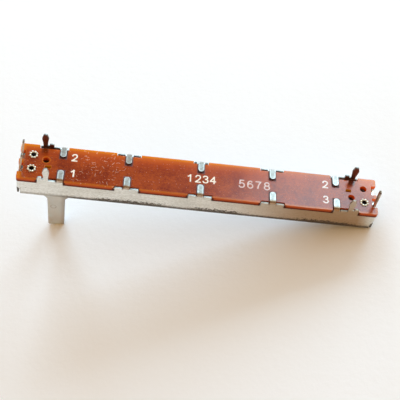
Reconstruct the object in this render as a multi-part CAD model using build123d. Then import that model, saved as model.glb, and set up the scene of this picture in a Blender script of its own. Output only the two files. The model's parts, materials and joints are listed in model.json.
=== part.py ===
from build123d import *
import math
import os

# Slide potentiometer with 60 mm of travel, board side up and lever down.
# A folded tinplate case is closed by a punched phenolic board that carries the printed tracks.
# A moulded carriage with its lever slides along the slot in the case's face and carries the wiper.
# The origin is the middle of the case's outer face. X runs along the travel, Z out through the board.

# Travel and the lever at its left end
travel = 60.0
stop_gap = 0.15            # from the lever's root to the slot's end, at either end of the travel

# Sheet and stack heights, measured up from the case's outer face
sheet = 0.4
inner_height = 4.25
board_thickness = 1.1
bend_inside = 0.2
corner_bend = 0.55         # outer radius of the upright folds at the ends

# Widths across the travel
body_width = 9.0

# Carriage
slider_length = 6.8
slider_height = 2.55
slider_side_gap = 0.1
slider_floor_gap = 0.05
slider_end_gap = 0.3       # to the screw collars, at the end of the travel
slider_edge = 0.25
slider_nose = 0.12
runner_width = 1.2
runner_depth = 0.25

# Lever, from the slot down
root_width = 5.0
root_thickness = 1.6
root_length = 5.2
flare_length = 1.1
blade_width = 3.8
blade_tip_width = 3.5
blade_thickness = 1.2
blade_tip_thickness = 1.1
lever_length = 16.5
blade_corner = 0.4
slot_side_gap = 0.2
slot_corner = 0.3
ejector_diameter = 1.2
ejector_depth = 0.05
ejector_from_centre = 0.6
ejector_below_face = 9.35

# Tapped collars for the panel screws
screw_thread = 2.0
collar_wall = 0.3
collar_height = 0.8
screw_to_end = 2.65

# Lengths that follow
collar_radius = screw_thread / 2 + collar_wall
slider_reach = travel / 2 + slider_length / 2
screw_place = slider_reach + slider_end_gap + collar_radius
half_length = screw_place + screw_to_end
body_length = 2 * half_length
half_width = body_width / 2
inner_half_width = half_width - sheet
case_height = sheet + inner_height
board_top = case_height + board_thickness

# Shoulders of the side walls, which stand in notches of the board
shoulder_below_board = 0.1
shoulder_gap = 0.15
shoulder_middle = 4.8
shoulder_narrow = 2.9
back_shoulder_long = 5.7   # the back wall's two outer shoulders
back_shoulder_from_end = 4.0
notch_depth = 0.62
end_notch_depth = 0.8

# Clamp tabs
tab_width = 1.24
tab_reach = 2.8            # from the wall's outer face to the tab's tip
tab_tip_round = 0.59
tab_bend_inside = 0.2
tab_dip_width = 0.22
tab_dip_depth = 0.35
outer_tab_from_end = 8.85
inner_tab_place = 15.2

# Snap-in legs and the nubs beside them
leg_height = 3.9           # above the board
leg_neck = 0.92
leg_bulb = 1.42
leg_tip = 0.7
leg_neck_height = 0.9
leg_bulb_height = 2.7
leg_round = 0.3
front_leg_from_end = 6.05
back_leg_from_end = 4.95
nub_to_leg = 1.3
nub_width = 0.95
nub_height = 0.85          # above the board
nub_round = 0.3
web_height = 0.3           # above the board, between a nub and its leg

# Folded ends of the side walls
face_from_end = 0.7
corner_relief = 0.7
corner_relief_height = 1.75
flap_bottom = 0.25
flap_low_half = 3.0
flap_to_terminal = 0.42
flap_middle_gap = 0.3

# Board
board_corner = 0.45
punch_round = 0.15
rivet_hole = 1.45
rivet_from_end = 2.8
rivet_from_middle = 1.75
end_notch_inset = 1.05
end_notch_width = 2.2
end_notch_shift = 0.14
guide_hole = 1.4
guide_hole_from_end = 5.5
guide_hole_from_middle = 0.75
guide_slot_length = 1.2
guide_slot_width = 0.7
guide_slot_from_end = 6.05
guide_slot_from_middle = 0.96

# Printed tracks on the board's underside
print_thickness = 0.08
track_from_middle = 2.1
track_width = 1.1
track_overrun = 1.0        # past the wiper's reach, where the silver begins
pad_radius = 1.1

# Terminals and their hollow rivets
terminal_thickness = 0.4
terminal_ring = 1.05
terminal_strip = 1.2
pin_width = 0.8
pin_height = 4.5           # above the board
pin_inset = 0.45           # of the pin's middle from the end, at the board's top
pin_bend = 0.15
pin_tip = 0.15
pin_lean = {1: 7.0, 2: 5.5, 3: 1.0}
rivet_bore = 0.5
rivet_barrel = 0.65
rivet_head = 0.95
rivet_head_thickness = 0.25
rivet_flare = 0.98
rivet_flare_height = 0.32
rivet_rim = 0.1
rivet_petals = 8
petal_root = 0.64          # radius where the cuts between the petals begin
petal_cut = 0.24

# Wiper and its posts
wiper_sheet = 0.12
wiper_plate_length = 3.2
wiper_plate_width = 5.6
wiper_plate_from_end = 0.3
wiper_corner = 0.25
finger_count = 4
finger_width = 0.16
finger_space = 0.08
finger_reach = 2.3
finger_curl = 0.35
finger_curl_angle = 50.0
contact_gap = 0.04
post_diameter = 0.9
post_gap = 0.05
post_head = 1.3
post_head_height = 0.2
post_head_taper = 20.0
post_from_middle = 1.9

# Leaf spring between the carriage and the front wall
spring_sheet = 0.12
spring_length = 5.2
spring_width = 1.3
spring_pocket_depth = 0.6
spring_pocket_gap = 0.2
spring_seat_gap = 0.04


def mirrored(solid, plane):
    """The solid with its mirror image, as one list."""
    return [solid, solid.mirror(plane)]


def block(x0, x1, y0, y1, z0, z1):
    """A box between two corners."""
    middle = Pos((x0 + x1) / 2, (y0 + y1) / 2, (z0 + z1) / 2)
    return middle * Box(x1 - x0, y1 - y0, z1 - z0)


def upright(face, y0, y1):
    """A face drawn as (x, z), pulled out from y0 to y1."""
    drawn = Plane((0, y0, 0), x_dir=(1, 0, 0), z_dir=(0, -1, 0)) * face
    return extrude(drawn, amount=-(y1 - y0))


def across(face, x0, x1):
    """A face drawn as (y, z), pulled out from x0 to x1."""
    drawn = Plane((x0, 0, 0), x_dir=(0, 1, 0), z_dir=(1, 0, 0)) * face
    return extrude(drawn, amount=x1 - x0)


def rectangle(x0, x1, y0, y1):
    """A rectangle between two corners."""
    return Pos((x0 + x1) / 2, (y0 + y1) / 2) * Rectangle(x1 - x0, y1 - y0)


def rounded_face(points, rounds):
    """A closed outline through the points, with a radius at each point that has one."""
    face = make_face(Polyline(*points, close=True))
    for point, radius in zip(points, rounds):
        if radius:
            corner = face.vertices().sort_by_distance((point[0], point[1], 0))[0]
            face = fillet(corner, radius)
    return face


def shoulders():
    """Each wall's shoulders: their middle, their length and the depth of the board's notch for them."""
    nub_side = front_leg_from_end - nub_to_leg - nub_width / 2
    tab_side = outer_tab_from_end + tab_width / 2
    front_place = half_length - (nub_side + tab_side) / 2
    back_place = half_length - back_shoulder_from_end - back_shoulder_long / 2
    front = [(0, shoulder_middle, notch_depth)]
    back = [(0, shoulder_narrow, notch_depth)]
    for sign in (-1, 1):
        front.append((sign * front_place, tab_side - nub_side, end_notch_depth))
        back.append((sign * back_place, back_shoulder_long, end_notch_depth))
        for wall in (front, back):
            wall.append((sign * inner_tab_place, shoulder_middle, notch_depth))
    return {"front": front, "back": back}


def tab_places():
    """The middles of a wall's five clamp tabs."""
    outer_tab_place = half_length - outer_tab_from_end
    return [-outer_tab_place, -inner_tab_place, 0, inner_tab_place, outer_tab_place]


def leg_face(middle):
    """A snap-in leg: a neck, a wider bulb and a round tip."""
    base = case_height
    half = [
        (leg_neck / 2, board_top),
        (leg_neck / 2, board_top + leg_neck_height),
        (leg_bulb / 2, board_top + leg_bulb_height),
        (leg_tip / 2, board_top + leg_height),
    ]
    right = [(middle + x, z) for x, z in half]
    left = [(middle - x, z) for x, z in reversed(half)]
    points = [(middle + leg_neck / 2, base)] + right + left + [(middle - leg_neck / 2, base)]
    rounds = [0, 0, 0, leg_round, leg_round, leg_round, leg_round, 0, 0, 0]
    return rounded_face(points, rounds)


def nub_face(middle):
    """The low stop beside a leg, on which the circuit board under it rests."""
    top = board_top + nub_height
    points = [
        (middle - nub_width / 2, case_height),
        (middle + nub_width / 2, case_height),
        (middle + nub_width / 2, top),
        (middle - nub_width / 2, top),
    ]
    return rounded_face(points, [0, 0, nub_round, nub_round])


def wall_face(side):
    """A side wall unfolded flat, with its shoulders, legs and nubs, less the dips beside the tabs."""
    shoulder_top = board_top - shoulder_below_board
    face = rectangle(-half_length, half_length, 0, case_height)
    for middle, length, depth in shoulders()[side]:
        face += rectangle(middle - length / 2, middle + length / 2, 0, shoulder_top)
    dip_edge = tab_width / 2 + tab_dip_width
    for middle in tab_places():
        tab_face = rectangle(middle - tab_width / 2, middle + tab_width / 2, 0, board_top - tab_bend_inside)
        face -= rectangle(middle - dip_edge, middle + dip_edge, shoulder_top - tab_dip_depth, shoulder_top)
        face += tab_face
    from_end = front_leg_from_end if side == "front" else back_leg_from_end
    outward = 1 if side == "front" else -1
    for sign in (-1, 1):
        leg_place = sign * (half_length - from_end)
        nub_place = leg_place + sign * outward * nub_to_leg
        left, right = sorted((leg_place, nub_place))
        face += leg_face(leg_place)
        face += nub_face(nub_place)
        face += rectangle(left, right, case_height, board_top + web_height)
    return face - corner_cut_face()


def corner_cut_face():
    """What is cut from a wall's two lower corners, where the folds of the sheet would meet."""
    cut = Sketch()
    for sign in (-1, 1):
        inner = sign * (half_length - face_from_end)
        outer = sign * (half_length + sheet)
        cut += rectangle(min(inner, outer), max(inner, outer), -sheet, corner_relief_height)
        cut += Pos(sign * half_length, corner_relief_height) * Circle(corner_relief)
    return cut


def channel():
    """The folded channel, with walls as high as the legs."""
    top = board_top + leg_height + sheet
    outer = rectangle(-half_width, half_width, 0, top)
    outer = fillet(outer.vertices().group_by(Axis.Y)[0], bend_inside + sheet)
    inner = rectangle(-inner_half_width, inner_half_width, sheet, top + sheet)
    inner = fillet(inner.vertices().group_by(Axis.Y)[0], bend_inside)
    return across(outer - inner, -half_length, half_length)


def tab(middle):
    """One clamp tab of the front wall, folded over the board."""
    tip = half_width - tab_reach
    top = board_top + sheet
    bend_y = inner_half_width - tab_bend_inside
    bend_z = board_top - tab_bend_inside
    line = [
        Line((half_width, case_height), (half_width, bend_z)),
        CenterArc((bend_y, bend_z), tab_bend_inside + sheet, 0, 90),
        Line((bend_y, top), (tip, top)),
        Line((tip, top), (tip, board_top)),
        Line((tip, board_top), (bend_y, board_top)),
        CenterArc((bend_y, bend_z), tab_bend_inside, 90, -90),
        Line((inner_half_width, bend_z), (inner_half_width, case_height)),
        Line((inner_half_width, case_height), (half_width, case_height)),
    ]
    solid = across(make_face(Curve() + line), middle - tab_width / 2, middle + tab_width / 2)
    tip_edges = solid.edges().filter_by(Axis.Z).group_by(Axis.Y)[0]
    return fillet(tip_edges, tab_tip_round).mirror(Plane.XZ)


def end_flap():
    """The flap of the front wall at the right end, folded across the end."""
    top_low = case_height - print_thickness - terminal_thickness - flap_to_terminal
    inner = half_length - sheet
    flap = block(inner, half_length, -half_width, -flap_middle_gap / 2, flap_bottom, case_height)
    flap -= block(half_length - 2 * sheet, half_length + sheet, -flap_low_half, 0, top_low, board_top)
    below = upright(corner_cut_face(), -half_width, -inner_half_width)
    return flap - below


def screw_collar():
    """The collar drawn up inside the face round a tapped hole, at the right end."""
    ring = Circle(collar_radius)
    return extrude(Plane((screw_place, 0, sheet / 2)) * ring, amount=sheet / 2 + collar_height)


def make_case():
    """The case: one sheet, cut, folded and clamped over the board."""
    front = upright(wall_face("front"), -half_width, 0)
    back = upright(wall_face("back"), 0, half_width)
    case = channel() & (front + back)
    flap = end_flap()
    for half in mirrored(flap, Plane.XZ):
        for piece in mirrored(half, Plane.YZ):
            case += piece
    plan = RectangleRounded(body_length, body_width, corner_bend)
    case &= extrude(plan, amount=board_top + leg_height + sheet)
    for piece in mirrored(screw_collar(), Plane.YZ):
        case += piece
    for middle in tab_places():
        for piece in mirrored(tab(middle), Plane.XZ):
            case += piece
    slot_length = travel + root_width + 2 * stop_gap
    slot_width = root_thickness + 2 * slot_side_gap
    case -= extrude(RectangleRounded(slot_length, slot_width, slot_corner), amount=2 * sheet, both=True)
    bore = extrude(Circle(screw_thread / 2), amount=sheet + 2 * collar_height, both=True)
    for sign in (-1, 1):
        case -= Pos(sign * screw_place, 0, 0) * bore
    return case


def outward_corners(face):
    """The corners where a notch opens at the rim of a face as large as the board."""
    on_rim = face.vertices().filter_by(
        lambda v: math.isclose(abs(v.X), half_length) or math.isclose(abs(v.Y), half_width)
    )
    return on_rim - face.edges().filter_by(GeomType.CIRCLE).vertices()


def board_face():
    """The board's outline with its notches, and the holes punched in it."""
    face = RectangleRounded(body_length, body_width, board_corner)
    for side, sign in (("front", -1), ("back", 1)):
        for middle, length, depth in shoulders()[side]:
            notch = Rectangle(length + 2 * shoulder_gap, 2 * depth)
            face -= Pos(middle, sign * half_width) * notch
        notch_middle = sign * (rivet_from_middle - end_notch_shift)
        for end in (-1, 1):
            face -= Pos(end * half_length, notch_middle) * Rectangle(2 * end_notch_inset, end_notch_width)
    face = fillet(outward_corners(face), punch_round)
    for end in (-1, 1):
        for side in (-1, 1):
            rivet = Pos(end * (half_length - rivet_from_end), side * rivet_from_middle)
            face -= rivet * Circle(rivet_hole / 2)
        hole = Pos(end * (half_length - guide_hole_from_end), -end * guide_hole_from_middle)
        face -= hole * Circle(guide_hole / 2)
        slot = Pos(end * (half_length - guide_slot_from_end), end * guide_slot_from_middle)
        face -= slot * Rectangle(guide_slot_length, guide_slot_width)
    return face


def make_board():
    """The phenolic board that closes the case."""
    return extrude(Plane((0, 0, case_height)) * board_face(), amount=board_thickness)


def rivet_place(number):
    """Where a terminal is riveted: 1 and 3 on the front row, 2 on the back row."""
    x = half_length - rivet_from_end
    return {1: (-x, -rivet_from_middle), 2: (-x, rivet_from_middle), 3: (x, -rivet_from_middle)}[number]


def printed(face):
    """A printed layer on the board's underside."""
    return extrude(Plane((0, 0, case_height - print_thickness)) * face, amount=print_thickness)


def pad_face(end, side):
    """The silver round a rivet, with its lead to the track's end."""
    x = end * (half_length - rivet_from_end)
    track_end = end * (travel / 2 + track_overrun)
    y = side * rivet_from_middle
    track = side * track_from_middle
    lead = rectangle(min(x, track_end), max(x, track_end), track - track_width / 2, track + track_width / 2)
    return Pos(x, y) * Circle(pad_radius) + lead - Pos(x, y) * Circle(rivet_hole / 2)


def track_face(side):
    """The straight track between its two ends."""
    end = travel / 2 + track_overrun
    y = side * track_from_middle
    return rectangle(-end, end, y - track_width / 2, y + track_width / 2)


def make_terminal(number):
    """A terminal: a ring under the board, a strip out to the end, and the pin up through the notch."""
    x, y = rivet_place(number)
    end = 1 if x > 0 else -1
    under = case_height - print_thickness
    middle = under - terminal_thickness / 2
    lean = math.radians(pin_lean[number])
    radius = pin_bend + terminal_thickness / 2
    pin_low = half_length - pin_inset + (board_top - middle) * math.tan(lean)
    bend_start = pin_low - radius * math.tan((math.pi / 2 + lean) / 2)
    ring_end = abs(x) + terminal_ring
    rise = board_top + pin_height
    bend_x = bend_start + radius * math.cos(lean)
    bend_z = middle + radius * (1 + math.sin(lean))
    top_x = bend_x - (rise - bend_z) * math.tan(lean)
    path = [
        Line((ring_end, middle), (bend_start, middle)),
        CenterArc((bend_start, middle + radius), radius, -90, 90 + pin_lean[number]),
        Line((bend_x, bend_z), (top_x, rise)),
    ]
    side_view = trace(Curve() + path, terminal_thickness)
    pin = upright(side_view, -pin_width / 2, pin_width / 2)
    tip = pin.faces().sort_by(Axis.Z)[-1].edges().sort_by(Axis.Y)
    pin = chamfer([tip[0], tip[-1]], pin_tip)
    ring = Pos(abs(x), 0) * Circle(terminal_ring)
    strip = rectangle(abs(x), bend_start, -terminal_strip / 2, terminal_strip / 2)
    flat_face = ring + strip - Pos(abs(x), 0) * Circle(rivet_hole / 2)
    flat = extrude(Plane((0, 0, under - terminal_thickness)) * flat_face, amount=terminal_thickness)
    terminal = flat + pin
    if end < 0:
        terminal = terminal.mirror(Plane.YZ)
    return Pos(0, y, 0) * terminal


def make_rivet(number):
    """A hollow rivet: its head under the terminal, its end split into petals over the board."""
    x, y = rivet_place(number)
    head_top = case_height - print_thickness - terminal_thickness
    bottom = head_top - rivet_head_thickness
    section = Polyline(
        (rivet_bore, bottom),
        (rivet_head, bottom),
        (rivet_head, head_top),
        (rivet_barrel, head_top),
        (rivet_barrel, board_top),
        (rivet_flare, board_top),
        (rivet_flare, board_top + rivet_rim),
        (rivet_bore, board_top + rivet_flare_height),
        close=True,
    )
    rivet = revolve(Plane.XZ * make_face(section), axis=Axis.Z)
    notch = Polyline(
        (petal_root, 0),
        (rivet_flare + petal_cut, -petal_cut),
        (rivet_flare + petal_cut, petal_cut),
        close=True,
    )
    cutter = extrude(Plane((0, 0, board_top)) * make_face(notch), amount=2 * rivet_flare_height)
    for turn in range(rivet_petals):
        rivet -= Rot(0, 0, 360 / rivet_petals * (turn + 0.5)) * cutter
    return Pos(x, y, 0) * rivet


def lever():
    """The lever below the carriage: a wide root in the slot, a flare and the knob's blade."""
    root_top = sheet + slider_floor_gap + slider_height / 2
    flare_end = root_length + flare_length
    front_view = [
        (root_width / 2, root_top),
        (root_width / 2, -root_length),
        (blade_width / 2, -flare_end),
        (blade_tip_width / 2, -lever_length),
        (-blade_tip_width / 2, -lever_length),
        (-blade_width / 2, -flare_end),
        (-root_width / 2, -root_length),
        (-root_width / 2, root_top),
    ]
    side_view = [
        (root_thickness / 2, root_top),
        (root_thickness / 2, -root_length),
        (blade_thickness / 2, -flare_end),
        (blade_tip_thickness / 2, -lever_length),
        (-blade_tip_thickness / 2, -lever_length),
        (-blade_thickness / 2, -flare_end),
        (-root_thickness / 2, -root_length),
        (-root_thickness / 2, root_top),
    ]
    front = rounded_face(front_view, [0, 0, 0, blade_corner, blade_corner, 0, 0, 0])
    side = make_face(Polyline(*side_view, close=True))
    blade = upright(front, -root_thickness, root_thickness) & across(side, -root_width, root_width)
    mark = Plane((-ejector_from_centre, 0, -ejector_below_face), x_dir=(1, 0, 0), z_dir=(0, -1, 0))
    mark_depth = blade_thickness / 2 - ejector_depth
    return blade - extrude(mark.offset(mark_depth) * Circle(ejector_diameter / 2), amount=root_thickness)


def post_places():
    """The two posts that hold the wiper's plate."""
    x = -slider_length / 2 + wiper_plate_from_end + wiper_plate_length / 2
    return [(x, -post_from_middle), (x, post_from_middle)]


def make_carriage():
    """The carriage and lever, moulded as one, standing in the middle of the travel."""
    slider_half_width = inner_half_width - slider_side_gap
    low = sheet + slider_floor_gap
    top = low + slider_height
    slider_half = slider_length / 2
    body = block(-slider_half, slider_half, -slider_half_width, slider_half_width, low, top)
    body = chamfer(body.edges().filter_by(Axis.Z), slider_edge)
    body = chamfer(body.edges().filter_by(Axis.Y), slider_nose)
    hollow_edge = slider_half_width - runner_width
    for sign in (-1, 1):
        inner = sign * (root_thickness / 2 + runner_width / 2)
        outer = sign * hollow_edge
        body -= block(
            -slider_half,
            slider_half,
            min(inner, outer),
            max(inner, outer),
            low,
            low + runner_depth,
        )
    pocket_half = spring_length / 2 + spring_pocket_gap
    spring_middle = low + slider_height / 2
    body -= block(
        -pocket_half,
        pocket_half,
        -slider_half_width,
        -slider_half_width + spring_pocket_depth,
        spring_middle - spring_width / 2 - spring_seat_gap,
        spring_middle + spring_width / 2 + spring_seat_gap,
    )
    carriage = body + lever()
    plate_top = top + wiper_sheet
    for x, y in post_places():
        post = Plane((x, y, top))
        carriage += extrude(post * Circle(post_diameter / 2), amount=wiper_sheet + post_head_height)
        head = Plane((x, y, plate_top))
        carriage += extrude(head * Circle(post_head / 2), amount=post_head_height, taper=post_head_taper)
    return carriage


def finger_face():
    """A spring finger seen from the side: flat, rising, and curled over where it touches the track."""
    plate = sheet + slider_floor_gap + slider_height + wiper_sheet / 2
    start = -slider_length / 2 + wiper_plate_from_end + wiper_plate_length
    crest = case_height - print_thickness - contact_gap - wiper_sheet / 2
    centre_x = start + finger_reach
    centre_z = crest - finger_curl
    away = math.hypot(centre_x - start, centre_z - plate)
    slope = math.atan2(centre_z - plate, centre_x - start) + math.asin(finger_curl / away)
    rise = away * math.cos(math.asin(finger_curl / away))
    touch = (start + rise * math.cos(slope), plate + rise * math.sin(slope))
    turn = math.degrees(slope) + finger_curl_angle
    path = [
        Line((start, plate), touch),
        CenterArc((centre_x, centre_z), finger_curl, 90 + math.degrees(slope), -turn),
    ]
    return trace(Curve() + path, wiper_sheet)


def make_wiper():
    """The wiper: a plate staked to the carriage, with a row of fingers for each track."""
    plate_low = sheet + slider_floor_gap + slider_height
    x0 = -slider_length / 2 + wiper_plate_from_end
    x1 = x0 + wiper_plate_length
    half = wiper_plate_width / 2
    wiper = block(x0, x1, -half, half, plate_low, plate_low + wiper_sheet)
    wiper = fillet(wiper.edges().filter_by(Axis.Z), wiper_corner)
    for x, y in post_places():
        hole = Plane((x, y, plate_low)) * Circle(post_diameter / 2 + post_gap)
        wiper -= extrude(hole, amount=wiper_sheet)
    face = finger_face()
    pitch = finger_width + finger_space
    first = -(finger_count - 1) / 2 * pitch
    for side in (-1, 1):
        for number in range(finger_count):
            middle = side * track_from_middle + first + number * pitch
            wiper += upright(face, middle - finger_width / 2, middle + finger_width / 2)
    return wiper


def make_spring():
    """The bowed leaf spring that presses on the front wall and takes up the play."""
    slider_half_width = inner_half_width - slider_side_gap
    seat = -slider_half_width + spring_pocket_depth - spring_sheet / 2 - spring_seat_gap
    crest = -inner_half_width + contact_gap + spring_sheet / 2
    half = spring_length / 2
    bow = ThreePointArc((-half, seat), (0, crest), (half, seat))
    middle = sheet + slider_floor_gap + slider_height / 2
    leaf = Plane((0, 0, middle - spring_width / 2)) * trace(bow, spring_sheet)
    return extrude(leaf, amount=spring_width)


def make_parts():
    """Every piece in its place, with the lever at the left end of its travel."""
    parts = {"case": make_case(), "board": make_board()}
    parts["resistive_track"] = printed(track_face(-1))
    parts["electrode_1"] = printed(pad_face(-1, -1))
    parts["electrode_3"] = printed(pad_face(1, -1))
    parts["collector_track"] = printed(pad_face(-1, 1) + track_face(1))
    for number in (1, 2, 3):
        parts[f"terminal_{number}"] = make_terminal(number)
        parts[f"eyelet_{number}"] = make_rivet(number)
    at_left_end = Pos(-travel / 2, 0, 0)
    parts["carriage"] = at_left_end * make_carriage()
    parts["wiper"] = at_left_end * make_wiper()
    parts["guide_spring"] = at_left_end * make_spring()
    return parts


os.makedirs("parts", exist_ok=True)
for name, part in make_parts().items():
    export_step(part, f"parts/{name}.step")
    print(name, round(part.volume, 3))
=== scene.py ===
# %% [markdown]
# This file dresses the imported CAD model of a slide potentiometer: a folded tinplate case, closed by
# an orange-brown phenolic board, with a grey plastic lever that slides along a slot underneath.
# The CAD holds every size and place. What is added here is the finish of each surface, the rounded
# edges that catch the light, the split and rolled rivets, and the numbers printed on the board.

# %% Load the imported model
import json
import math

import bmesh
import bpy
from mathutils import Matrix, Quaternion, Vector


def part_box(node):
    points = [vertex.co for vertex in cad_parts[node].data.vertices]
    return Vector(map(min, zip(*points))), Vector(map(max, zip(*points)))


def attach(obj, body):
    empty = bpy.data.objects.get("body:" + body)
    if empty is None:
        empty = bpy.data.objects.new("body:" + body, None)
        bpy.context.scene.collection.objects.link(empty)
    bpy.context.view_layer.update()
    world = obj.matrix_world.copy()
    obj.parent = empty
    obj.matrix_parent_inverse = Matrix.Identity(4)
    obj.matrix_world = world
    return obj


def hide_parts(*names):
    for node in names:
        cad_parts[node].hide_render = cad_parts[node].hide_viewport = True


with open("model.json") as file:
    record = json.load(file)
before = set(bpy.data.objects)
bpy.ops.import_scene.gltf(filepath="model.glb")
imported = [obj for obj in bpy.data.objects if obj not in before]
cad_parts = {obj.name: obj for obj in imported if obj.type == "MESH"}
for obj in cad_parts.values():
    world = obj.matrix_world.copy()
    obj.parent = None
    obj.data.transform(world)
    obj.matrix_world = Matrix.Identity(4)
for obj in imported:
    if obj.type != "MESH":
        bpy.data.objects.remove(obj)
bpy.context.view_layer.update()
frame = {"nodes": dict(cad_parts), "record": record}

MM = 0.001
merge_distance = 0.0005 * MM

# %% [markdown]
# Sizes are read from the CAD, in metres, so that nothing has to be fitted by eye. The board's top
# is the height that most of the added pieces stand on.

# %% Read the main sizes
board_low, board_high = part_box("board")
board_top = board_high.z
half_length = board_high.x
half_width = board_high.y
lever_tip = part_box("carriage")[0].z
rivet_places = {number: sum(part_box(f"eyelet_{number}"), Vector()) / 2 for number in (1, 2, 3)}
print("board top", round(board_top / MM, 2), "mm, lever tip", round(lever_tip / MM, 2), "mm")

# %% [markdown]
# The camera stands where the photograph was taken from, which was worked out from the board's
# corners, holes and tabs. It looks down at 55 degrees and is rolled a little, because the part
# leans in the picture and stands level here.

# %% Put an object in the scene
def new_object(name, data):
    """An object at the origin, linked to the scene."""
    thing = bpy.data.objects.new(name, data)
    bpy.context.collection.objects.link(thing)
    return thing


# %% Set up the camera
camera_place = Vector((-15.83, -111.40, 158.78)) * MM
camera_target = Vector((0.035, -5.331, 5.75)) * MM
camera_roll = math.radians(12.815)
lens_mm = 81.9
camera_data = bpy.data.cameras.new("camera")
camera_data.lens = lens_mm
camera_data.sensor_width = 36.0
camera_data.clip_start = 0.01
camera = new_object("camera", camera_data)
camera.rotation_mode = "QUATERNION"
camera.location = camera_place
facing = (camera_target - camera_place).to_track_quat("-Z", "Y")
camera.rotation_quaternion = facing @ Quaternion((0, 0, 1), camera_roll)
bpy.context.scene.camera = camera
print("camera distance", round((camera_target - camera_place).length / MM), "mm")

# %% [markdown]
# Shader maths is easier to read as sums than as boxes and wires. One class wraps a socket, so that
# a sum on it adds Math nodes. A second holds a node tree and adds every other node by its type, and
# a third is such a tree that belongs to a material.

# %% A socket that can be used in sums
class Value:
    """A socket of a node tree. A sum written with it adds a Math node to the same tree."""

    def __init__(self, nodes, socket):
        self.nodes = nodes
        self.socket = socket

    def __add__(self, other):
        return self.nodes.maths("ADD", self, other)

    def __sub__(self, other):
        return self.nodes.maths("SUBTRACT", self, other)

    def __rsub__(self, other):
        return self.nodes.maths("SUBTRACT", other, self)

    def __mul__(self, other):
        return self.nodes.maths("MULTIPLY", self, other)

    __radd__ = __add__
    __rmul__ = __mul__


# %% A node tree that grows by method calls
class Nodes:
    """A node tree of a material or of the world."""

    def __init__(self, tree):
        self.tree = tree

    def node(self, kind, settings, inputs):
        """Adds a node: its settings are set first, then the values or links of its sockets."""
        node = self.tree.nodes.new(kind)
        for name, value in settings.items():
            setattr(node, name, value)
        for socket, value in inputs.items():
            self.feed(node.inputs[socket], value)
        return node

    def add(self, kind, settings, inputs, output=0):
        """Adds a node of which one output is used."""
        return Value(self, self.node(kind, settings, inputs).outputs[output])

    def feed(self, socket, value):
        """Links a value to a socket, or sets the socket to a plain number or colour."""
        if isinstance(value, Value):
            self.tree.links.new(value.socket, socket)
        else:
            socket.default_value = value

    def maths(self, operation, *values):
        """A Math node on numbers and sockets."""
        return self.add("ShaderNodeMath", {"operation": operation}, dict(enumerate(values)))

    def larger(self, *values):
        """The largest of some values."""
        most = values[0]
        for value in values[1:]:
            most = self.maths("MAXIMUM", most, value)
        return most

    def parts(self, vector):
        """The x, y and z of a vector."""
        node = self.node("ShaderNodeSeparateXYZ", {}, {0: vector})
        return [Value(self, output) for output in node.outputs]

    def fade(self, value, low, high):
        """0 below low, 1 above high, smooth in between. A low over high turns it round."""
        settings = {"interpolation_type": "SMOOTHSTEP"}
        inputs = {"Value": value, "From Min": low, "From Max": high}
        return self.add("ShaderNodeMapRange", settings, inputs)

    def near(self, value, middle, reach, core=0.4):
        """1 where a value is close to the middle, 0 beyond the reach from it."""
        return self.fade(self.maths("ABSOLUTE", value - middle), reach, reach * core)

    def near_any(self, value, middles, reach, core=0.4):
        """1 where a value is close to one of the middles."""
        return self.larger(*(self.near(value, middle, reach, core) for middle in middles))

    def distance(self, first, second):
        """The length of the line whose two legs are given."""
        return self.maths("SQRT", first * first + second * second)

    def blend(self, mask, first, second):
        """The first colour where the mask is 0, and the second where it is 1."""
        settings = {"data_type": "RGBA"}
        return self.add("ShaderNodeMix", settings, {"Factor": mask, 6: first, 7: second}, 2)


# %% A material that is built from patterns
class Finish(Nodes):
    """A material: constants go straight to its shader, and patterns are added one by one."""

    def __init__(self, name, **constants):
        self.material = bpy.data.materials.new(name)
        self.material.use_nodes = True
        super().__init__(self.material.node_tree)
        self.shader = self.tree.nodes["Principled BSDF"]
        for socket, value in constants.items():
            self.shader.inputs[socket.replace("_", " ")].default_value = value

    def place(self, stretch=(1, 1, 1)):
        """The place on the piece in millimetres, stretched along its axes."""
        here = self.add("ShaderNodeTexCoord", {}, {}, "Object")
        scale = [factor / MM for factor in stretch]
        return self.add("ShaderNodeMapping", {"vector_type": "POINT"}, {"Vector": here, "Scale": scale})

    def facing(self):
        """The x, y and z of the way that the surface looks."""
        return self.parts(self.add("ShaderNodeTexCoord", {}, {}, "Normal"))

    def noise(self, size, detail=3.0, roughness=0.5, stretch=(1, 1, 1)):
        """Noise from 0 to 1 with lumps of about that size, in millimetres."""
        inputs = {"Vector": self.place(stretch), "Scale": 1 / size}
        inputs |= {"Detail": detail, "Roughness": roughness}
        return self.add("ShaderNodeTexNoise", {"noise_dimensions": "3D"}, inputs)

    def wear(self, colour=None, roughness=None, metallic=None, height=None, depth=0.01, glow=None):
        """Links what changes over the surface. Height is turned into bumps of that depth in mm."""
        links = {"Base Color": colour, "Roughness": roughness, "Metallic": metallic, "Emission Color": glow}
        for socket, value in links.items():
            if value is not None:
                self.tree.links.new(value.socket, self.shader.inputs[socket])
        if height is not None:
            inputs = {"Height": height, "Distance": depth * MM, "Strength": 1.0}
            bump = self.add("ShaderNodeBump", {}, inputs)
            self.tree.links.new(bump.socket, self.shader.inputs["Normal"])
        return self.material


def paint(red, green, blue):
    """A colour as a screen shows it, from 0 to 255, as the linear colour that a shader takes."""
    def linear(level):
        share = level / 255
        return share / 12.92 if share <= 0.04045 else ((share + 0.055) / 1.055) ** 2.4
    return (linear(red), linear(green), linear(blue), 1.0)
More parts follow.
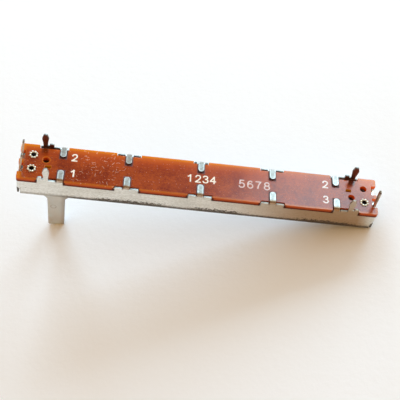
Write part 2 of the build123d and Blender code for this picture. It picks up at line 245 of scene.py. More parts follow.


# %% [markdown]
# The board is paper soaked in phenolic resin: glossy, orange-brown and a little see-through, so its
# thin back edge, its ends and the walls of its holes glow orange where light comes in from behind;
# that glow is painted in. The shadows and dark reflections of the two back legs are painted on it in
# brown, and painted shade darkens a seam round each clamp tab and the corners of the notches. Handling
# has left short bent scratches and pale specks, most of them at the left. Each comes from a Voronoi
# pattern: every cell has one mark, turned and placed at random, so none looks repeated.

# %% Marks that are scattered over a surface
def scatter(finish, cell):
    """For cells of that size in mm: the place from the cell's middle, and its three random numbers."""
    place = finish.place([1 / cell] * 3)
    settings = {"voronoi_dimensions": "2D", "feature": "F1"}
    cells = finish.node("ShaderNodeTexVoronoi", settings, {"Vector": place, "Scale": 1.0})
    middle = Value(finish, cells.outputs["Position"])
    away = finish.add("ShaderNodeVectorMath", {"operation": "SUBTRACT"}, {0: place, 1: middle})
    return finish.parts(away)[:2], finish.parts(Value(finish, cells.outputs["Color"]))


def scratches(finish, cell, length, width, share):
    """One short bent line in a share of the cells, with its size in mm."""
    (x, y), (turn, luck, bend) = scatter(finish, cell)
    angle = turn * math.pi
    cosine = finish.maths("COSINE", angle)
    sine = finish.maths("SINE", angle)
    along = x * cosine + y * sine
    across = y * cosine - x * sine + along * along * (bend - 0.5) * 3.0
    thin = finish.fade(finish.maths("ABSOLUTE", across), width / cell, 0.3 * width / cell)
    short = finish.fade(finish.maths("ABSOLUTE", along), 0.5 * length / cell, 0.35 * length / cell)
    return thin * short * finish.maths("LESS_THAN", luck, share)


def specks(finish, cell, radius, share):
    """A round speck in a share of the cells, with its radius in mm."""
    (x, y), (size, luck, _) = scatter(finish, cell)
    away = finish.distance(x, y)
    reach = (size * 0.6 + 0.4) * (radius / cell)
    return finish.maths("LESS_THAN", away - reach, 0.0) * finish.maths("LESS_THAN", luck, share)


# %% Places on the board, in mm
guide_hole_from_end = 5.5
guide_hole_from_middle = 0.75
guide_hole_radius = 0.7
slot_from_end = 6.05
slot_from_middle = 0.96
slot_half_length = 0.6
slot_half_width = 0.35
tab_places = (-28.8, -15.2, 0.0, 15.2, 28.8)
tab_half_width = 0.62
tab_reach = 2.8
notch_half_length = 2.55
outer_notch = (28.05, 33.5)
back_leg_from_end = 4.95
scuffs_place = -21.0
notch_corners = [place + side * notch_half_length for place in tab_places[1:4] for side in (-1, 1)]
notch_corners += [side * corner for corner in outer_notch for side in (-1, 1)]
print("corners of the front notches:", sorted(notch_corners))


# %% Masks of the board
def hole_rim(finish, x, y, wide):
    """A ring of that width round the guide hole at the left end, in mm."""
    away = finish.distance(x + (half_length / MM - guide_hole_from_end), y - guide_hole_from_middle)
    return finish.fade(away, guide_hole_radius + wide, guide_hole_radius + 0.4 * wide)


def slot_rim(finish, x, y, side, wide):
    """A frame of that width round the small slot at one end, in mm."""
    beside_x = finish.near(x, side * (half_length / MM - slot_from_end), slot_half_length + wide, 0.85)
    beside_y = finish.near(y, side * slot_from_middle, slot_half_width + wide, 0.75)
    return beside_x * beside_y


def tab_seam_shade(finish, x, y):
    """Painted shade in a seam round the clamp tabs, thickest at their tips."""
    tip = half_width / MM - tab_reach
    along = finish.near_any(x, tab_places, tab_half_width + 0.33, 0.72)
    return along * finish.fade(finish.maths("ABSOLUTE", y), tip - 0.5, tip - 0.15)


def leg_shadow(finish, x, y):
    """A painted shadow and dark reflection of each back leg on the board in front of it."""
    width = half_width / MM
    leg_place = half_length / MM - back_leg_from_end
    slant = 0.3
    right = finish.near(x - y * slant, leg_place - (width - 0.4) * slant, 0.95, 0.5)
    left = finish.near(x, -leg_place, 0.95, 0.45) * 0.7
    return (left + right) * finish.fade(y, width - 2.9, width - 1.5)


def board_marks(finish, x):
    """Short scratches, thick in one place at the left, and pale specks that are fainter at the right."""
    scuffed = finish.near(x, scuffs_place, 7.5, 0.4) * 0.95 + 0.05
    patch = finish.fade(finish.noise(2.5, 2.0), 0.42, 0.54)
    long_lines = scratches(finish, 1.25, 0.9, 0.065, 0.6)
    short_lines = scratches(finish, 0.9, 0.5, 0.055, 0.4)
    dots = specks(finish, 0.7, 0.07, 0.3) * (finish.fade(x, 6.0, -6.0) * 0.35 + 0.4)
    return finish.larger(finish.larger(long_lines, short_lines) * patch * scuffed, dots)


# %% Colours of the board
def board_top_colour(finish, x, y, mottle):
    """The upper face: mottled, with painted shadows of the back legs, and painted glow where light comes
    through its edges.
    """
    length, width = half_length / MM, half_width / MM
    from_back = 1 - finish.fade(x, 0.0, 24.0) * 0.65
    far_half = finish.fade(y, width - 5.0, width - 0.8) * from_back
    back_band = finish.fade(y, width - 2.2, width - 0.5) * from_back
    far_corner = finish.fade(x, length - 8.0, length - 1.0) * finish.fade(y, -2.0, width)
    # Painted glow along the edges and round the holes, where light comes in through the board.
    lit = finish.larger(
        finish.fade(y, width - 0.85, width - 0.15) * from_back,
        finish.fade(x, 1.4 - length, 0.4 - length) * 0.8,
        finish.fade(x, length - 0.8, length - 0.1) * 0.5,
        finish.fade(y, 0.7 - width, 0.1 - width) * 0.4,
        hole_rim(finish, x, y, 0.3) * 0.5,
        slot_rim(finish, x, y, -1, 0.2) * 0.4,
    )
    colour = finish.blend(finish.fade(mottle, 0.38, 0.62), paint(124, 36, 0), paint(176, 72, 0))
    # Brighter orange towards the back and at the far right corner: painted glow of light through the board.
    colour = finish.blend(far_half * 0.5, colour, paint(200, 78, 8))
    colour = finish.blend(back_band * 0.5, colour, paint(226, 110, 8))
    colour = finish.blend(far_corner * 0.6, colour, paint(226, 120, 50))
    # Painted shadow and dark reflection of the back legs.
    colour = finish.blend(leg_shadow(finish, x, y) * 0.9, colour, paint(62, 12, 0))
    return finish.blend(lit, colour, paint(228, 128, 0))


def board_edge_colour(finish, x, y, z, inside, slots_lit):
    """The punched edges: darker towards the bottom as painted shade and orange above, with painted shade in
    the corners of the notches.
    """
    low, width = board_low.z / MM, half_width / MM
    in_holes = finish.blend(slots_lit, paint(208, 84, 14), paint(190, 118, 30))
    # Painted shade in the corners of the notches.
    notch_corner_shade = finish.near_any(x, notch_corners, 0.6, 0.25) * finish.fade(y, 0.7 - width, 0.4 - width)
    # Darker towards the bottom: painted shade.
    colour = finish.blend(finish.fade(z, low + 0.1, low + 1.0), paint(96, 26, 4), paint(206, 92, 20))
    colour = finish.blend(inside, colour, in_holes)
    return finish.blend(notch_corner_shade * 0.8, colour, paint(44, 8, 0))


def board_glow(finish, x, z, cut, inside, slots_lit):
    """The light that soaks through the board and shows on the walls of its holes and notches."""
    length, low = half_length / MM, board_low.z / MM
    soaked = finish.blend(slots_lit, paint(92, 28, 0), paint(104, 60, 0))
    soaked = finish.blend(finish.fade(x, length - 1.6, length - 0.9), soaked, paint(150, 62, 10))
    dimmed = finish.fade(x, 0.0, -10.0) * (0.6 - slots_lit * 0.5)
    lit_walls = cut * inside * finish.fade(z, low, low + 0.9) * (1 - dimmed)
    return finish.blend(lit_walls, (0, 0, 0, 1), soaked)


# %% Finish of the board
def board_finish():
    finish = Finish("phenolic_board", IOR=1.5, Emission_Strength=1.0)
    x, y, z = finish.parts(finish.place())
    up = finish.facing()[2]
    width = half_width / MM
    cloud = finish.noise(6.0, 3.0, 0.6)
    fibre = finish.noise(0.4, 4.0, 0.65, stretch=(0.7, 1, 1))
    grain = finish.noise(0.22, 2.0, 0.6)

    # Where each of its looks shows.
    on_top = finish.fade(up, 0.3, 0.6)
    cut = finish.maths("LESS_THAN", finish.maths("ABSOLUTE", up), 0.5)
    inside = finish.fade(y, 0.7 - width, 1.0 - width) * finish.fade(y, width - 0.7, width - 1.0)
    slots_lit = finish.larger(slot_rim(finish, x, y, -1, 0.2), slot_rim(finish, x, y, 1, 0.2))
    marks = board_marks(finish, x) * on_top
    seam_shade = tab_seam_shade(finish, x, y) * on_top

    # What each of them looks like.
    top = board_top_colour(finish, x, y, cloud * 0.36 + fibre * 0.34 + grain * 0.3)
    colour = finish.blend(on_top, board_edge_colour(finish, x, y, z, inside, slots_lit), top)
    colour = finish.blend(finish.fade(up, -0.6, -0.8), colour, paint(140, 62, 20))
    colour = finish.blend(marks * 0.55, colour, paint(240, 194, 148))
    # Painted shade in a seam round the clamp tabs.
    colour = finish.blend(seam_shade * 0.85, colour, paint(52, 8, 0))
    glow = board_glow(finish, x, z, cut, inside, slots_lit)
    roughness = cloud * 0.06 + marks * 0.3 + seam_shade * 0.5 + 0.155 + cut * 0.4
    metallic = cut * (0.65 - inside * 0.45)
    return finish.wear(colour, roughness, metallic, fibre * 0.3 + grain * 0.2 - marks, 0.004, glow)


# %% [markdown]
# The case is tin plate: soft bright metal, rolled along its length, that has gone dull and picked up
# dark specks from handling, most of all along its lower edges. A thin dark line along those edges is
# painted shade. The tabs that were hammered down over the board are smudged, and painted brown where
# they bend, as a reflection of the warm room. The cut edges show the darker steel.

# %% Dirt and painted shade on the case
sheet = 0.4
tarnished_places = ((-14.0, 12.0), (4.0, 8.0), (27.5, 9.0))


def tarnish_and_shade(finish, x, z):
    """Dark streaks and specks along the lower edge, thick at three places, and painted shade in a thin dark
    line along that edge and in a faint line along a crease.
    """
    thick = finish.larger(*(finish.near(x, middle, reach) for middle, reach in tarnished_places))
    edge = finish.fade(z, 3.2, 0.6) * (thick * 0.7 + 0.3)
    ragged = finish.noise(0.5, 4.0, 0.7, stretch=(0.6, 1, 1.1))
    streak = finish.fade(ragged + edge * 0.5, 0.8, 0.92)
    spot = finish.fade(finish.noise(0.28, 2.0, 0.5) + edge * 0.18, 0.67, 0.74)
    line_strength = finish.fade(x, -31.0, -25.0) * 0.5 + 0.45
    broken = finish.fade(finish.noise(0.2, 2.0, 0.5), 0.36, 0.52) * 0.2 + 0.8
    # A painted dark line of shade along the lower bend.
    line = finish.fade(z + ragged, 1.95, 1.3) * line_strength * broken
    # A painted line of shade along a faint crease.
    crease = finish.near(z, 1.15, 0.3) * finish.fade(finish.noise(0.3, 3.0, 0.6), 0.48, 0.6) * 0.22
    return finish.larger(streak * (broken * 0.5 + 0.5), spot * 0.7, line, crease)


def case_dirt_and_shade(finish, x, beside, z, nx):
    """Tarnish, with painted shade in the open corners at the ends and on the bend under the long edges."""
    length, width = half_length / MM, half_width / MM
    # Painted shade in the open corners at the ends.
    corner = finish.fade(finish.maths("ABSOLUTE", x), length - 0.78, length - 0.7)
    corner = corner * finish.fade(z, 2.6, 2.3) * finish.near(beside, width - 1.0, 0.8, 0.8)
    corner = corner * (1 - finish.fade(nx * x, length * 0.5, length * 0.9))
    # Painted shade on the bend under the long edges.
    underside = finish.fade(z, 0.55, 0.25) * finish.fade(beside, width - 0.6, width - 0.3) * 0.5
    return finish.larger(tarnish_and_shade(finish, x, z), corner * 0.9, underside)


# %% Clamp tabs of the case
def tab_fold(finish, x, beside, z):
    """Where a clamp tab bends over the upper edge of its wall."""
    width, top = half_width / MM, board_top / MM
    at_tab = finish.near_any(x, tab_places, tab_half_width + 0.12, 0.9)
    return at_tab * finish.fade(beside, width - 0.75, width - 0.5) * finish.fade(z, top - 0.3, top - 0.05)


def tab_colour(finish, colour, x, beside, on_tab, smudge, back):
    """The flat of each tab: darker within a lighter rim, browner towards the left, and painted darker
    towards the left and at the back as shade.
    """
    tip = half_width / MM - tab_reach
    within_rim = finish.near_any(x, tab_places, tab_half_width - 0.06, 0.5)
    within_rim = within_rim * finish.fade(beside, tip, tip + 0.45)
    # Painted shade: darker towards the left and at the back.
    painted_tab_shade = finish.fade(x, 22.0, 6.0) * 0.15 + back * 0.08 - 0.19
    dark = within_rim * 0.34 + smudge * 0.2 + 0.3 + painted_tab_shade
    browner_left = finish.fade(x, -4.0, -14.0) * (back * finish.fade(x, -28.0, -20.0) * 0.2 + 0.22)
    colour = finish.blend(on_tab * dark, colour, paint(120, 112, 102))
    return finish.blend(on_tab * browner_left, colour, paint(124, 96, 70))


# %% Finish of the case
def tinplate_finish():
    finish = Finish("tinplate")
    x, y, z = finish.parts(finish.place())
    nx, ny, nz = finish.facing()
    length, width, top = half_length / MM, half_width / MM, board_top / MM
    beside = finish.maths("ABSOLUTE", y)
    upright = finish.maths("ABSOLUTE", ny)
    front = finish.fade(y, -3.4, -4.0)
    back = finish.fade(y, 0.0, 1.0)
    cloud = finish.noise(5.0, 4.0, 0.6, stretch=(0.5, 1, 1))
    grain = finish.noise(0.3, 4.0, 0.6, stretch=(0.5, 1, 1))
    rolled = finish.noise(0.22, 3.0, 0.5, stretch=(0.06, 1, 1))
    smudge = finish.fade(finish.noise(0.45, 3.0, 0.65), 0.42, 0.6)
    speckled = finish.fade(finish.noise(0.2, 2.0, 0.6), 0.42, 0.6)

    # The walls, with a painted brown reflection of the table's shadow at the right of the front.
    mottle = cloud * 0.36 + grain * 0.44 + rolled * 0.2
    colour = finish.blend(finish.fade(mottle, 0.38, 0.62), paint(212, 211, 203), paint(243, 244, 240))
    right = finish.fade(x, 0.0, 26.0) * finish.fade(x, length - 0.5, length - 4.0)
    right = right * (1 - finish.fade(z, top, top + 1.2) * 0.3)
    # Painted reflection of the table's brown shadow.
    colour = finish.blend(right * front * 0.8, colour, paint(172, 136, 94))

    # The clamp tabs, and the floor of the case that shows through the board's openings, painted in the
    # orange of the light that the board lets through.
    flat = finish.fade(nz, 0.6, 0.9)
    on_tab = flat * finish.near(z, top + sheet, 0.1)
    colour = tab_colour(finish, colour, x, beside, on_tab, smudge, back)
    fold = tab_fold(finish, x, beside, z)
    # The bends: speckled, and painted brown as a reflection of the warm room, most at the front.
    colour = finish.blend(fold * (speckled * 0.3 + 0.5) * (1 - back * 0.8), colour, paint(146, 100, 48))
    floor_inside = flat * finish.fade(z, sheet + 0.3, sheet + 0.1)
    # Painted orange light from the board on the case's floor.
    colour = finish.blend(floor_inside * 0.9, colour, paint(164, 40, 8))

    # The cut edges of the sheet, which show the darker steel and are painted darker at the back as shade,
    # and the inner sides of the back legs, painted with a dark reflection of the board.
    cut_top = (flat - on_tab) * finish.fade(z, top - 0.5, top - 0.3)
    rough_cut = finish.fade(beside, width - 0.12, width - 0.26) * 0.5 + smudge * 0.2 + 0.14
    colour = finish.blend(cut_top * (rough_cut + back * 0.3), colour, paint(92, 84, 76))
    standing = finish.fade(z, top - 0.1, top + 0.1) * (1 - flat)
    # Painted dark reflection of the board on the inner sides of the back legs.
    colour = finish.blend(standing * back * finish.fade(ny, -0.4, -0.8) * 0.85, colour, paint(112, 62, 42))
    side_cut = standing * finish.fade(upright, 0.75, 0.55) * (1 - fold)
    # The side cuts show the darker steel, painted darker on the back legs as shade.
    colour = finish.blend(side_cut * (back * 0.45 + 0.4), colour, paint(56, 36, 24))

    # Dirt and painted shade, and a painted dark reflection on the edges that are rolled over by the punch.
    dark = case_dirt_and_shade(finish, x, beside, z, nx)
    colour = finish.blend(dark * 0.92, colour, paint(48, 42, 38))
    edge_shade = finish.fade(upright, 0.96, 0.8) * finish.fade(nz, 0.9, 0.7)
    edge_shade = edge_shade * finish.fade(z, top - 0.7, top - 0.3) * (1 - fold)
    # Painted dark reflection along the rounded edges.
    colour = finish.blend(edge_shade * (smudge * 0.4 + 0.4), colour, paint(84, 70, 56))
    roughness = cloud * 0.14 + grain * 0.08 + dark * 0.3 + on_tab * 0.16 + cut_top * 0.2 + 0.26
    metallic = 1 - finish.larger(dark, side_cut, floor_inside) * 0.7
    height = rolled * 0.3 + grain * 0.3 + cloud + smudge * on_tab - dark * 0.5
    return finish.wear(colour, roughness, metallic, height, 0.006)


# %% [markdown]
# The lever is grey acetal, moulded with the slider inside the case. Its surface is silky and almost
# even. Its lower part is painted browner as shade, and its right side and a ring round the ejector mark are
# painted darker as shade.

# %% Finish of the lever
ejector_place = (-30.6, -9.35)
ejector_radius = 0.6


def lever_finish():
    finish = Finish("grey_acetal", IOR=1.48)
    cloud = finish.noise(2.5, 3.0, 0.55)
    grain = finish.noise(0.12, 2.0, 0.5)
    x, y, z = finish.parts(finish.place())
    colour = finish.blend(finish.fade(cloud, 0.3, 0.7), paint(198, 208, 214), paint(208, 216, 222))
    # Painted shade: browner towards the lower end.
    lower_shade = finish.fade(z, -9.0, -16.5) * finish.fade(cloud, 0.3, 0.6)
    colour = finish.blend(lower_shade * 0.4, colour, paint(150, 126, 104))
    away = finish.distance(x - ejector_place[0], z - ejector_place[1])
    ring = finish.near(away, ejector_radius, 0.14, 0.3) * finish.fade(y, 0.0, -0.3)
    # Painted shade round the ejector mark and along the right side.
    shade = finish.larger(ring * 0.45, finish.fade(x, -29.3, -28.2) * 0.42)
    colour = finish.blend(shade, colour, paint(122, 108, 94))
    return finish.wear(colour, cloud * 0.12 + 0.38, height=grain, depth=0.003)


# %% [markdown]
# The small metal pieces share one kind of finish: metal of a colour, clouded by a darker tone, with
# its own roughness. The carbon track is matt ink, and the printed numbers are thin pale ink that
# lets a little of the board through.

# %% Finishes of the small pieces
def small_metal_finish(name, bright, dull, roughness):
    finish = Finish(name, Metallic=1.0)
    cloud = finish.noise(0.6, 4.0, 0.6)
    fine = finish.noise(0.12, 2.0, 0.5)
    colour = finish.blend(finish.fade(cloud, 0.35, 0.68), bright, dull)
    return finish.wear(colour, cloud * 0.25 + (roughness - 0.1), height=fine + cloud, depth=0.008)


def terminal_finish():
    """Tinned brass that has gone grey and beige, with dark tips."""
    finish = Finish("tinned_terminal")
    x, _, z = finish.parts(finish.place())
    cloud = finish.noise(0.6, 4.0, 0.6)
    tip = finish.fade(z, board_top / MM + 3.8, board_top / MM + 4.3)
    colour = finish.blend(finish.fade(cloud, 0.35, 0.68), paint(210, 200, 182), paint(144, 128, 108))
    left = finish.fade(x, 10.0, -10.0)
    colour = finish.blend(left * 0.55, colour, paint(238, 232, 220))
    colour = finish.blend(tip * 0.75, colour, paint(84, 56, 42))
    return finish.wear(colour, cloud * 0.25 + 0.3, 1 - left * 0.65, cloud, 0.008)


def eyelet_finish():
    """Creamy tin on the rolled rim, and a dark throat that no light reaches."""
    finish = Finish("tinned_eyelet")
    z = finish.parts(finish.place())[2]
    cloud = finish.noise(0.5, 4.0, 0.6)
    throat = finish.fade(z, board_top / MM + 0.16, board_top / MM)
    colour = finish.blend(finish.fade(cloud, 0.4, 0.7), paint(246, 240, 222), paint(214, 200, 172))
    colour = finish.blend(throat, colour, paint(54, 42, 30))
    return finish.wear(colour, cloud * 0.2 + 0.3, 0.6 - throat * 0.4, cloud, 0.008)


def carbon_finish():
    finish = Finish("carbon_ink")
    grain = finish.noise(0.08, 3.0, 0.6)
    colour = finish.blend(grain, paint(22, 22, 24), paint(46, 45, 46))
    return finish.wear(colour, grain * 0.2 + 0.55, height=grain, depth=0.004)


def print_finish(name, light, thin):
    finish = Finish(name)
    cover = finish.noise(0.35, 3.0, 0.6)
    colour = finish.blend(finish.fade(cover, 0.52, 0.75), light, thin)
    return finish.wear(colour, cover * 0.2 + 0.45, height=cover, depth=0.003)


# %% Assign the finishes to the CAD nodes
finishes = {
    "tinplate": tinplate_finish(),
    "phenolic": board_finish(),
    "carbon_print": carbon_finish(),
    "silver_print": small_metal_finish("silver_ink", paint(196, 194, 188), paint(150, 146, 138), 0.5),
    "tinned_terminal": terminal_finish(),
    "tinned_eyelet": eyelet_finish(),
    "lever_plastic": lever_finish(),
    "spring_bronze": small_metal_finish("spring_bronze", paint(206, 158, 104), paint(160, 112, 66), 0.3),
    "spring_steel": small_metal_finish("spring_steel", paint(180, 180, 182), paint(130, 130, 134), 0.3),
}
slots = {subpart["node"]: subpart["material_slot"] for subpart in frame["record"]["subparts"]}
bodies = frame["record"]["behaviour"]["bodies"]
for name, slot in slots.items():
    node = frame["nodes"][name]
    node.data.materials.clear()
    node.data.materials.append(finishes[slot])
print("finishes:", sorted(finishes))

# %% [markdown]
# A piece that is added here is a mesh at the origin with its place in its vertices, so that its
# pattern and the CAD's are in one space. One helper makes the object, gives it its finish, and lets
# it ride on the body that carries it.

# %% Helpers for added pieces
def mesh_object(name, shape, material):
    """Turns a bmesh into an object with one material."""
    mesh = bpy.data.meshes.new(name)
    shape.to_mesh(mesh)
    shape.free()
    mesh.materials.append(material)
    return new_object(name, mesh)


def set_smooth(shape, smooth):
    """Shades all faces of a bmesh smooth or flat."""
    for face in shape.faces:
        face.smooth = smooth


def add_piece(name, shape, material, body, node=None):
    """Adds a piece that rides on a body, and may stand for a CAD node."""
    piece = mesh_object(name, shape, material)
    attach(piece, body)
    if node:
        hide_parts(node)
    print(name, len(piece.data.polygons), "faces")
    return piece


# %% [markdown]
# Nothing that is punched, folded or moulded has knife-sharp edges, and a soft edge is what catches
# the light. The large CAD nodes are copied, their loose triangles are merged back into whole faces,
# and every sharp edge is bevelled by a few hundredths of a millimetre. A Weighted Normal modifier
# keeps the flat faces flat beside their soft edges.

# %% Round the edges of the large pieces
flat_angle = math.radians(0.5)
sharp_angle = math.radians(32.0)
bevel_segments = 2


def softened(node, width):
    """A copy of a CAD node whose sharp edges are bevelled by a width in mm."""
    shape = bmesh.new()
    shape.from_mesh(frame["nodes"][node].data)
    bmesh.ops.remove_doubles(shape, verts=shape.verts, dist=merge_distance)
    bmesh.ops.dissolve_limit(
        shape,
        angle_limit=flat_angle,
        verts=shape.verts,
        edges=shape.edges,
        use_dissolve_boundaries=False,
    )
    sharp = [edge for edge in shape.edges if edge.is_manifold and edge.calc_face_angle() > sharp_angle]
    before = shape.calc_volume()
    bmesh.ops.bevel(
        shape,
        geom=sharp,
        offset=width * MM,
        offset_type="OFFSET",
        affect="EDGES",
        segments=bevel_segments,
        profile=0.5,
        clamp_overlap=True,
        loop_slide=True,
        material=-1,
    )
    open_edges = sum(not edge.is_manifold for edge in shape.edges)
    change = shape.calc_volume() / before - 1
    print(node, len(sharp), "edges softened,", open_edges, "open edges, volume", f"{change:+.2%}")
    set_smooth(shape, True)
    return shape


softened_edges = {"case": 0.08, "board": 0.05, "carriage": 0.06}
softened_edges |= {f"terminal_{number}": 0.04 for number in (1, 2, 3)}
for node, width in softened_edges.items():
    body = next(name for name, members in bodies.items() if node in members)
    slot = slots[node]
    piece = add_piece(f"{node}_soft_edges", softened(node, width), finishes[slot], body, node)
    normals = piece.modifiers.new("flat_faces_stay_flat", "WEIGHTED_NORMAL")
    normals.keep_sharp = True

# %% [markdown]
# A hollow rivet is a tube whose end is split by a star-shaped punch and rolled outwards over the
# board. A short profile is spun round the rivet's axis, and then the rim is drawn in and the throat
# let down along eight lines, which gives eight petals that run into each other.

# %% Model the rolled rivets
rivet_bore = 0.5 * MM
rivet_rim = 0.98 * MM
rivet_barrel = 0.64 * MM
roll_lift = 0.04 * MM
roll_height = 0.27 * MM
roll_steps = 9
petal_count = 8
petal_cut = 0.19 * MM
spin_steps = 96


def rolled_profile(low):
    """The tube's section: up the bore, over the roll, back to the board and down the barrel."""
    points = [(rivet_bore, low), (rivet_bore, board_top - 0.1 * MM)]
    middle = (rivet_bore + rivet_rim) / 2
    half = (rivet_rim - rivet_bore) / 2
    for step in range(roll_steps + 1):
        turn = math.pi * (1 - step / roll_steps)
        height = board_top + roll_lift + roll_height * math.sin(turn)
        points.append((middle + half * math.cos(turn), height))
    return points + [(rivet_barrel, board_top + 0.01 * MM), (rivet_barrel, low)]


def split_petals(shape, centre):
    """Draws the rim in and lets the throat down along the lines between the petals."""
    for vert in shape.verts:
        out = Vector((vert.co.x - centre.x, vert.co.y - centre.y, 0))
        if vert.co.z < board_top + 0.02 * MM:
            continue
        turn = math.atan2(out.y, out.x) * petal_count / 2
        split = abs(math.cos(turn)) ** 4
        share = (out.length - rivet_bore) / (rivet_rim - rivet_bore)
        pulled = out.normalized() * (out.length - split * petal_cut * share)
        vert.co.x = centre.x + pulled.x
        vert.co.y = centre.y + pulled.y
        vert.co.z -= split * (vert.co.z - board_top) * (0.85 - 0.4 * share)


def rolled_rivet(centre, low):
    """The profile spun round the rivet's axis, from its lower end up to its split rim."""
    shape = bmesh.new()
    points = [(centre.x + radius, centre.y, height) for radius, height in rolled_profile(low)]
    verts = [shape.verts.new(point) for point in points]
    edges = [shape.edges.new((first, second)) for first, second in zip(verts, verts[1:] + verts[:1])]
    bmesh.ops.spin(
        shape,
        geom=verts + edges,
        cent=(centre.x, centre.y, 0),
        axis=(0, 0, 1),
        angle=math.tau,
        steps=spin_steps,
        use_merge=True,
    )
    bmesh.ops.remove_doubles(shape, verts=shape.verts, dist=merge_distance)
    split_petals(shape, centre)
    bmesh.ops.recalc_face_normals(shape, faces=shape.faces)
    set_smooth(shape, True)
    return shape


for number, centre in rivet_places.items():
    node = f"eyelet_{number}"
    rivet = rolled_rivet(centre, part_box(node)[0].z)
    add_piece(f"rolled_rivet_{number}", rivet, finishes["tinned_eyelet"], "housing", node)

# %% [markdown]
# The board carries screen-printed numbers: two at each end, beside the terminals, and two rows of
# plain figures along the middle. Each figure is drawn with a few strokes in a box one high, and a
# stroke is a curve with a round section that is pressed flat on the board, as a coat of ink is. A
# ring is given by its middle and its two radii.

# %% Draw the figures as strokes
straight, curved, ring = "POLY", "BEZIER", "RING"
two_bow = [(0.02, 0.7), (0.12, 0.93), (0.33, 1.0), (0.55, 0.91), (0.6, 0.7), (0.45, 0.42), (0.02, 0.0)]
three_upper = [
    (0.04, 0.78), (0.14, 0.95), (0.32, 1.0), (0.53, 0.92), (0.56, 0.74), (0.46, 0.57), (0.26, 0.53),
]
three_lower = [
    (0.26, 0.53), (0.5, 0.48), (0.62, 0.28), (0.54, 0.07), (0.32, 0.0), (0.1, 0.06), (0.02, 0.24),
]
five_bowl = [
    (0.08, 0.5), (0.3, 0.63), (0.54, 0.54), (0.61, 0.32),
    (0.52, 0.08), (0.3, 0.0), (0.1, 0.06), (0.02, 0.22),
]
six_stem = [(0.56, 0.82), (0.45, 0.97), (0.26, 0.97), (0.1, 0.78), (0.04, 0.45), (0.06, 0.3)]
figures = {
    "1": [(straight, [(0.0, 0.74), (0.16, 0.82), (0.3, 1.0), (0.3, 0.0)])],
    "2": [(curved, two_bow), (straight, [(0.0, 0.0), (0.62, 0.0)])],
    "3": [(curved, three_upper), (curved, three_lower)],
    "4": [(straight, [(0.48, 0.0), (0.48, 1.0), (0.0, 0.3), (0.66, 0.3)])],
    "5": [(straight, [(0.56, 1.0), (0.14, 1.0), (0.08, 0.5)]), (curved, five_bowl)],
    "6": [(curved, six_stem), (ring, [(0.33, 0.31), (0.29, 0.31)])],
    "7": [(straight, [(0.0, 1.0), (0.6, 1.0)]), (curved, [(0.6, 1.0), (0.36, 0.6), (0.22, 0.0)])],
    "8": [(ring, [(0.32, 0.76), (0.25, 0.24)]), (ring, [(0.32, 0.27), (0.3, 0.27)])],
}
print("figures:", " ".join(figures))


def add_spline(curve, kind, points):
    """Adds one spline through points that are already in place."""
    spline = curve.splines.new("POLY" if kind == straight else "BEZIER")
    spline.use_cyclic_u = kind == ring
    knots = spline.points if kind == straight else spline.bezier_points
    knots.add(len(points) - 1)
    for knot, point in zip(knots, points):
        knot.co = (*point, 0.0, 1.0) if kind == straight else (*point, 0.0)
        if kind != straight:
            knot.handle_left_type = knot.handle_right_type = "AUTO"


def add_stroke(curve, kind, points, left, low, height):
    """Adds a stroke of a figure, scaled to its height. A bent straight stroke is laid in runs."""
    if kind == ring:
        (mid_x, mid_y), (wide, high) = points
        points = [(mid_x + wide * a, mid_y + high * b) for a, b in ((1, 0), (0, 1), (-1, 0), (0, -1))]
    points = [Vector((left + across * height, low + up * height)) for across, up in points]
    if kind != straight:
        add_spline(curve, kind, points)
        return
    for first, second in zip(points, points[1:]):
        overlap = (second - first).normalized() * curve.bevel_depth * 0.7
        add_spline(curve, kind, [first - overlap, second + overlap])


# %% Print the numbers
ink_thickness = 0.03 * MM
heavy_ink = print_finish("cream_ink", paint(250, 244, 226), paint(236, 214, 184))
light_ink = print_finish("thin_ink", paint(230, 208, 202), paint(200, 160, 148))
plain_ink = print_finish("white_ink", paint(250, 244, 238), paint(232, 214, 204))

# Each row: name, figures, left edge, foot, height, pitch and width of stroke in mm, and ink.
numbers = [
    ("number_2_left", "2", -26.95, 1.24, 1.62, 0.0, 0.3, heavy_ink),
    ("number_1_left", "1", -26.7, -2.74, 1.56, 0.0, 0.32, heavy_ink),
    ("figures_middle", "1234", -2.65, -0.86, 1.68, 1.56, 0.28, heavy_ink),
    ("figures_right", "5678", 8.1, -1.02, 1.8, 1.78, 0.27, light_ink),
    ("number_2_right", "2", 26.05, 1.12, 1.66, 0.0, 0.3, plain_ink),
    ("number_3_right", "3", 26.05, -2.76, 1.62, 0.0, 0.3, plain_ink),
]


def printed(name, text, left, low, height, pitch, stroke):
    """A row of figures as one flat mesh on the board, with all sizes in mm."""
    curve = bpy.data.curves.new(name, "CURVE")
    curve.dimensions = "3D"
    curve.bevel_depth = stroke / 2
    curve.bevel_resolution = 2
    curve.resolution_u = 6
    curve.use_fill_caps = True
    for place, figure in enumerate(text):
        for kind, points in figures[figure]:
            add_stroke(curve, kind, points, left + place * pitch, low, height)
    drawn = new_object(name, curve)
    bpy.context.view_layer.update()
    mesh = bpy.data.meshes.new_from_object(drawn)
    bpy.data.objects.remove(drawn)
    shape = bmesh.new()
    shape.from_mesh(mesh)
    flatten = Matrix.Diagonal((MM, MM, ink_thickness / stroke, 1))
    on_board = Matrix.Translation((0, 0, board_top))
    bmesh.ops.transform(shape, matrix=on_board @ flatten, verts=shape.verts)
    bmesh.ops.remove_doubles(shape, verts=shape.verts, dist=merge_distance)
    bmesh.ops.recalc_face_normals(shape, faces=shape.faces)
    set_smooth(shape, False)
    return shape


for name, text, left, low, height, pitch, stroke, ink in numbers:
    add_piece(name, printed(name, text, left, low, height, pitch, stroke), ink, "housing")

# %% [markdown]
# In the picture the part leans: the right end of its face and the lever's tip both touch the table,
# so the table is a plane through those two lines. It is a stage piece, not part of the model. It is
# seen from above only, and fades away far from the part, so that no view has a horizon in it.

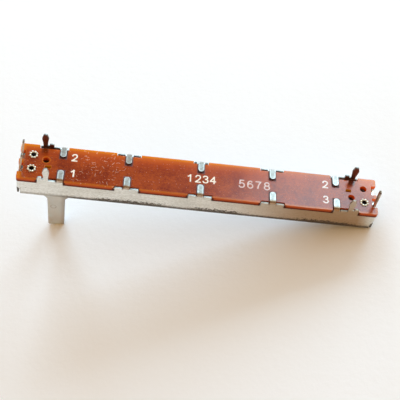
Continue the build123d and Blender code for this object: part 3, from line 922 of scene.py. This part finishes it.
# %% Lay the floor
floor_whole_to = 180.0
floor_gone_at = 620.0
floor_half = 1.5
touch_right = Vector((37.0 * MM, 0, 0))
touch_lever = Vector((-30.0 * MM, 0, lever_tip))


def floor_material():
    """Pale paper that fades into the white room, with its reach given in mm."""
    finish = Finish("pale_paper", Roughness=0.85)
    x, y, _ = finish.parts(finish.place())
    shade = finish.noise(60.0, 2.0)
    grain = finish.noise(1.6, 4.0, 0.65)
    colour = finish.blend(shade, paint(246, 246, 245), paint(250, 250, 250))
    finish.wear(colour, height=grain, depth=0.05)
    behind = finish.add("ShaderNodeNewGeometry", {}, {}, "Backfacing")
    clear = finish.add("ShaderNodeBsdfTransparent", {}, {})
    shader = Value(finish, finish.shader.outputs[0])
    hidden = finish.larger(behind, finish.fade(finish.distance(x, y), floor_whole_to, floor_gone_at))
    shown = finish.add("ShaderNodeMixShader", {}, {0: hidden, 1: shader, 2: clear})
    finish.feed(finish.tree.nodes["Material Output"].inputs["Surface"], shown)
    return finish.material


lean = math.atan2(touch_right.z - touch_lever.z, touch_right.x - touch_lever.x)
floor_shape = bmesh.new()
bmesh.ops.create_grid(floor_shape, x_segments=1, y_segments=1, size=floor_half)
floor_place = Matrix.Translation(touch_right) @ Matrix.Rotation(-lean, 4, "Y")
bmesh.ops.transform(floor_shape, matrix=floor_place, verts=floor_shape.verts)
floor = mesh_object("floor", floor_shape, floor_material())
print("the part leans", round(math.degrees(lean), 1), "degrees")

# %% [markdown]
# The light is a plain studio's: two cool soft windows low behind the part, at its left and its right,
# and a sky that is warm in front. Together they are neutral, and the shadow is warm as in the
# picture. A third lamp, high behind the right end, stands for a bright ceiling: it shows only in
# polished surfaces, where it pales the right half of the board.

# %% Set the lamps
lamp_distance = 0.7
window_colour = (0.57, 0.79, 1.0)
ceiling_colour = (0.58, 0.87, 1.0)


def soft_lamp(name, direction, width, height, radiance, colour):
    """A rectangle of light that faces the part, with its brightness given as its radiance."""
    lamp = bpy.data.lights.new(name, "AREA")
    lamp.shape = "RECTANGLE"
    lamp.size = width
    lamp.size_y = height
    lamp.energy = radiance * math.pi * width * height
    lamp.color = colour
    holder = new_object(name, lamp)
    towards = Vector(direction).normalized()
    holder.location = towards * lamp_distance
    holder.rotation_mode = "QUATERNION"
    holder.rotation_quaternion = (-towards).to_track_quat("-Z", "Y")
    return holder


soft_lamp("left_window", (-0.25, 0.88, 0.37), 0.34, 0.28, 10.4, window_colour)
soft_lamp("right_window", (0.34, 0.85, 0.38), 0.34, 0.28, 10.4, window_colour)
ceiling = soft_lamp("ceiling", (0.405, 0.5, 0.75), 0.35, 0.4, 6.3, ceiling_colour)
ceiling.visible_diffuse = False
print("lamps:", sorted(lamp.name for lamp in bpy.data.lights))

# %% [markdown]
# The world is white where the camera or a polished surface looks level, as a paper sweep would be,
# and dimmer overhead. On matt surfaces it shines warm from the front and white from behind, and more
# from the sides than from straight above, which keeps the table bright under the part.

# %% Set the world
world = bpy.data.worlds.new("studio")
bpy.context.scene.world = world
world.use_nodes = True
sky = Nodes(world.node_tree)
rays = {name: sky.add("ShaderNodeLightPath", {}, {}, name) for name in ("Is Camera Ray", "Is Glossy Ray")}
_, depth, height = sky.parts(sky.add("ShaderNodeTexCoord", {}, {}, "Generated"))
behind_part = sky.fade(depth, -0.3, 0.3)
high_up = sky.fade(height, 0.35, 0.95)
front_fill = sky.blend(high_up, (0.71, 0.43, 0.175, 1), (0.53, 0.32, 0.13, 1))
back_fill = sky.blend(high_up, (1.05, 1.07, 1.06, 1), (0.76, 0.78, 0.77, 1))
fill = sky.blend(behind_part, front_fill, back_fill)
overhead = sky.blend(behind_part, (0.78, 0.5, 0.24, 1), (0.32, 0.27, 0.21, 1))
room = sky.blend(sky.fade(height, 0.15, 0.4), (1, 1, 1, 1), overhead)
shown = sky.blend(rays["Is Glossy Ray"], fill, room)
shown = sky.blend(rays["Is Camera Ray"], shown, (1, 1, 1, 1))
sky.feed(world.node_tree.nodes["Background"].inputs["Color"], shown)
print("sky:", len(world.node_tree.nodes), "nodes")

# %% Set the view transform
bpy.context.scene.view_settings.view_transform = "Standard"
